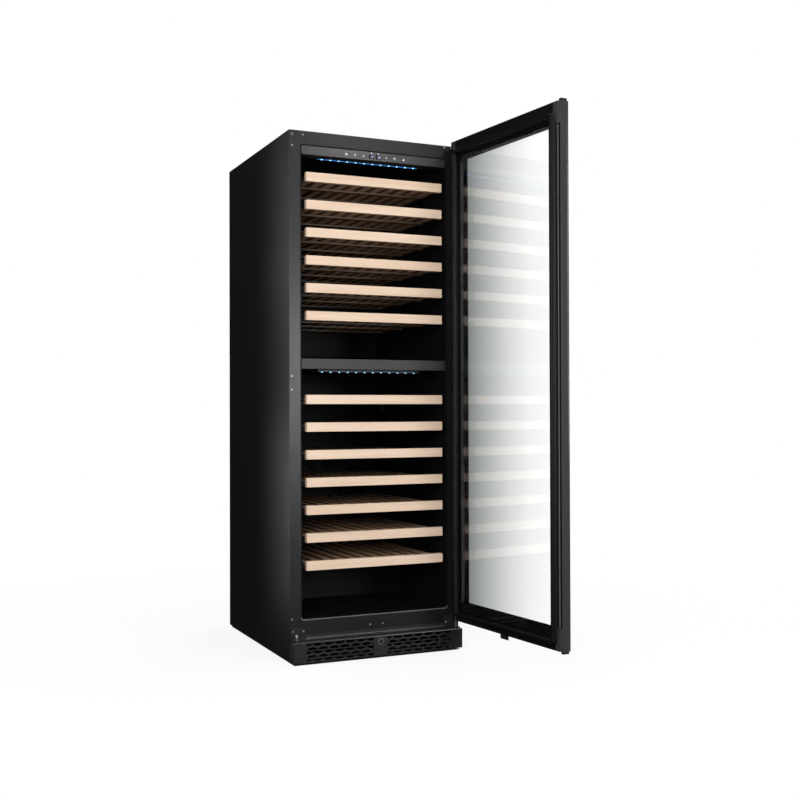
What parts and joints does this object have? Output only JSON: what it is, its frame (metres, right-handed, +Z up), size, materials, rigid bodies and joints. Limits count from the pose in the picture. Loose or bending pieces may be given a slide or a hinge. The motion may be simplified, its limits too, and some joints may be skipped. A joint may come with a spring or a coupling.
{
  "type": "wine cooler",
  "caption": "Tall black dual-zone wine cooler with a glass door standing open, sliding beech shelves, blue light bars, a touch panel and a lockable kick plate.",
  "frame": {"origin": "floor level, under the middle of the cabinet's footprint", "axes": "+Z up, the cabinet's front and door face -Y, +X is the viewer's right, where the door is hinged"},
  "size_m": [0.6598, 1.2877, 1.713],
  "materials": {
    "cabinet_steel": "satin black powder coat",
    "galvanised_steel": "dull galvanised sheet",
    "foam": "rigid foam",
    "liner": "fine matt black",
    "divider_trim": "matt dark grey",
    "panel_gloss": "smooth dark grey",
    "display": "dark display window",
    "led_bar": "blue light bar",
    "rail_steel": "black coated steel",
    "bare_aluminium": "mill finish",
    "fan_plastic": "matt black moulding",
    "sensor_plastic": "off-white moulding",
    "compressor_enamel": "black enamel",
    "condenser_enamel": "black enamel",
    "tray_plastic": "matt dark grey moulding",
    "copper": "bare copper pipe",
    "inlet_plastic": "matt black moulding",
    "kick_plastic": "fine-textured black",
    "lock_metal": "satin black",
    "zinc_plate": "zinc plate",
    "hinge_steel": "black plated steel",
    "screw_steel": "black zinc",
    "foot_plastic": "matt black moulding",
    "door_plastic": "satin black profile",
    "cap_plastic": "matt black moulding",
    "outer_glass": "tinted clear glass with black printed border",
    "inner_glass": "clear glass with black printed border",
    "spacer_aluminium": "matt grey anodised",
    "gasket_rubber": "soft black",
    "bush_plastic": "black nylon",
    "beech": "pale beech, clear lacquer"
  },
  "bodies": {
    "cabinet": {"side_panels": "cabinet_steel", "top_panel": "cabinet_steel", "face_frame": "cabinet_steel", "back_panel": "galvanised_steel", "rear_cover": "galvanised_steel", "base_pan": "cabinet_steel", "insulation": "foam", "liner_upper": "liner", "liner_lower": "liner", "air_duct_upper": "liner", "air_duct_lower": "liner", "divider_cover": "divider_trim", "control_panel": "panel_gloss", "display_windows": "display", "led_bars": "led_bar", "shelf_rails": "rail_steel", "evaporators": "bare_aluminium", "fan_shroud": "fan_plastic", "temperature_sensors": "sensor_plastic", "compressor": "compressor_enamel", "condenser": "condenser_enamel", "drip_tray": "tray_plastic", "refrigerant_lines": "copper", "electronics_box": "sensor_plastic", "power_inlet": "inlet_plastic", "kick_grille": "kick_plastic", "hinge_brackets": "hinge_steel", "upper_hinge_bracket": "hinge_steel", "frame_screws": "screw_steel"},
    "door": {"door_frame": "door_plastic", "handle_profile": "door_plastic", "handle_caps": "cap_plastic", "glass_outer": "outer_glass", "glass_inner": "inner_glass", "glass_spacer": "spacer_aluminium", "door_gasket": "gasket_rubber", "lock_tab": "hinge_steel", "hinge_bushes": "bush_plastic"},
    "shelf_01": {"shelf_01": "beech"},
    "shelf_02": {"shelf_02": "beech"},
    "shelf_03": {"shelf_03": "beech"},
    "shelf_04": {"shelf_04": "beech"},
    "shelf_05": {"shelf_05": "beech"},
    "shelf_06": {"shelf_06": "beech"},
    "shelf_07": {"shelf_07": "beech"},
    "shelf_08": {"shelf_08": "beech"},
    "shelf_09": {"shelf_09": "beech"},
    "shelf_10": {"shelf_10": "beech"},
    "shelf_11": {"shelf_11": "beech"},
    "shelf_12": {"shelf_12": "beech"},
    "shelf_13": {"shelf_13": "beech"},
    "fan_upper": {"fan_rotor_upper": "fan_plastic"},
    "fan_lower": {"fan_rotor_lower": "fan_plastic"},
    "fan_condenser": {"fan_rotor_condenser": "fan_plastic"},
    "lock": {"lock_cylinder": "lock_metal", "lock_cam": "zinc_plate"},
    "foot_front_left": {"foot_front_left": "foot_plastic"},
    "foot_front_right": {"foot_front_right": "foot_plastic"},
    "foot_rear_left": {"foot_rear_left": "foot_plastic"},
    "foot_rear_right": {"foot_rear_right": "foot_plastic"}
  },
  "joints": [
    {"name": "door_hinge", "type": "hinge", "parent": "cabinet", "child": "door", "pos_m": [0.282, -0.365, 0.9], "axis": [0, 0, 1], "range_deg": [-95, 5]},
    {"name": "shelf_01_slide", "type": "slide", "parent": "cabinet", "child": "shelf_01", "axis": [0, -1, 0], "range_m": [0, 0.33]},
    {"name": "shelf_02_slide", "type": "slide", "parent": "cabinet", "child": "shelf_02", "axis": [0, -1, 0], "range_m": [0, 0.33]},
    {"name": "shelf_03_slide", "type": "slide", "parent": "cabinet", "child": "shelf_03", "axis": [0, -1, 0], "range_m": [0, 0.33]},
    {"name": "shelf_04_slide", "type": "slide", "parent": "cabinet", "child": "shelf_04", "axis": [0, -1, 0], "range_m": [0, 0.33]},
    {"name": "shelf_05_slide", "type": "slide", "parent": "cabinet", "child": "shelf_05", "axis": [0, -1, 0], "range_m": [0, 0.33]},
    {"name": "shelf_06_slide", "type": "slide", "parent": "cabinet", "child": "shelf_06", "axis": [0, -1, 0], "range_m": [0, 0.33]},
    {"name": "shelf_07_slide", "type": "slide", "parent": "cabinet", "child": "shelf_07", "axis": [0, -1, 0], "range_m": [0, 0.33]},
    {"name": "shelf_08_slide", "type": "slide", "parent": "cabinet", "child": "shelf_08", "axis": [0, -1, 0], "range_m": [0, 0.33]},
    {"name": "shelf_09_slide", "type": "slide", "parent": "cabinet", "child": "shelf_09", "axis": [0, -1, 0], "range_m": [0, 0.33]},
    {"name": "shelf_10_slide", "type": "slide", "parent": "cabinet", "child": "shelf_10", "axis": [0, -1, 0], "range_m": [0, 0.33]},
    {"name": "shelf_11_slide", "type": "slide", "parent": "cabinet", "child": "shelf_11", "axis": [0, -1, 0], "range_m": [0, 0.33]},
    {"name": "shelf_12_slide", "type": "slide", "parent": "cabinet", "child": "shelf_12", "axis": [0, -1, 0], "range_m": [0, 0.33]},
    {"name": "shelf_13_slide", "type": "slide", "parent": "cabinet", "child": "shelf_13", "axis": [0, -1, 0], "range_m": [0, 0.33]},
    {"name": "fan_upper_spin", "type": "hinge", "parent": "cabinet", "child": "fan_upper", "pos_m": [0, 0.208, 1.31], "axis": [0, 1, 0], "continuous": true},
    {"name": "fan_lower_spin", "type": "hinge", "parent": "cabinet", "child": "fan_lower", "pos_m": [0, 0.208, 0.62], "axis": [0, 1, 0], "continuous": true},
    {"name": "fan_condenser_spin", "type": "hinge", "parent": "cabinet", "child": "fan_condenser", "pos_m": [-0.075, 0.22, 0.11], "axis": [1, 0, 0], "continuous": true},
    {"name": "lock_turn", "type": "hinge", "parent": "cabinet", "child": "lock", "pos_m": [0, -0.375, 0.052], "axis": [0, -1, 0], "range_deg": [0, 90]},
    {"name": "foot_front_left_turn", "type": "hinge", "parent": "cabinet", "child": "foot_front_left", "pos_m": [-0.255, -0.3, 0.01], "axis": [0, 0, 1], "range_deg": [0, 3600]},
    {"name": "foot_front_right_turn", "type": "hinge", "parent": "cabinet", "child": "foot_front_right", "pos_m": [0.255, -0.3, 0.01], "axis": [0, 0, 1], "range_deg": [0, 3600]},
    {"name": "foot_rear_left_turn", "type": "hinge", "parent": "cabinet", "child": "foot_rear_left", "pos_m": [-0.255, 0.3, 0.01], "axis": [0, 0, 1], "range_deg": [0, 3600]},
    {"name": "foot_rear_right_turn", "type": "hinge", "parent": "cabinet", "child": "foot_rear_right", "pos_m": [0.255, 0.3, 0.01], "axis": [0, 0, 1], "range_deg": [0, 3600]}
  ]
}
